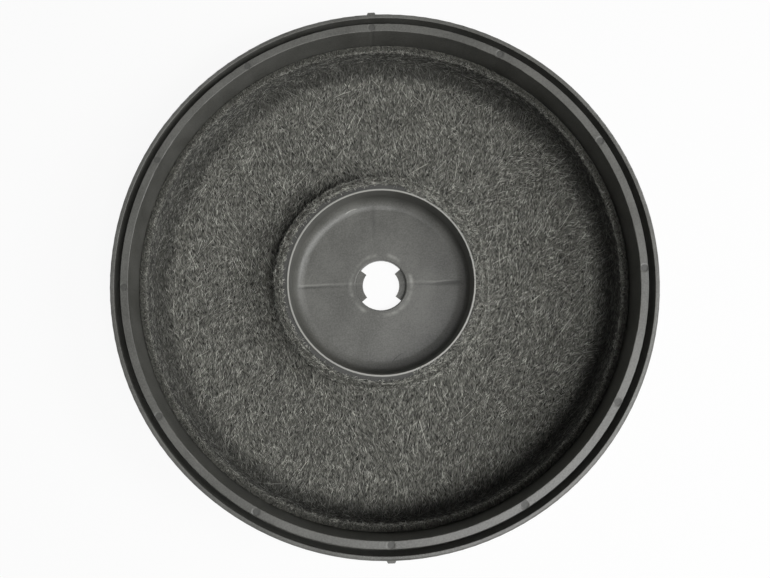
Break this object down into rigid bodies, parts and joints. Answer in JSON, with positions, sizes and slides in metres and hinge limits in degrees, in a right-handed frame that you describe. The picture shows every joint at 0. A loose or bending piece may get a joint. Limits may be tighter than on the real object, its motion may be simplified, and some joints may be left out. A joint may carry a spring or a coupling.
{
  "type": "cooker hood carbon filter",
  "caption": "Round carbon filter for a cooker hood: a moulded dish with a gutter rim and a grille floor, a trough-shaped felt mat, and a bayonet hole in its recessed hub.",
  "frame": {"origin": "middle of the underside, on the axis of the bayonet hole", "axes": "+Z out of the open side, towards the fan; +X along the line through the two bayonet tabs"},
  "size_m": [0.24, 0.242, 0.038],
  "materials": {
    "housing_plastic": "satin moulded polypropylene",
    "carbon_felt": "needle-punched, carbon-loaded felt"
  },
  "bodies": {
    "root": {"housing": "housing_plastic", "carbon_felt": "carbon_felt"}
  },
  "joints": []
}
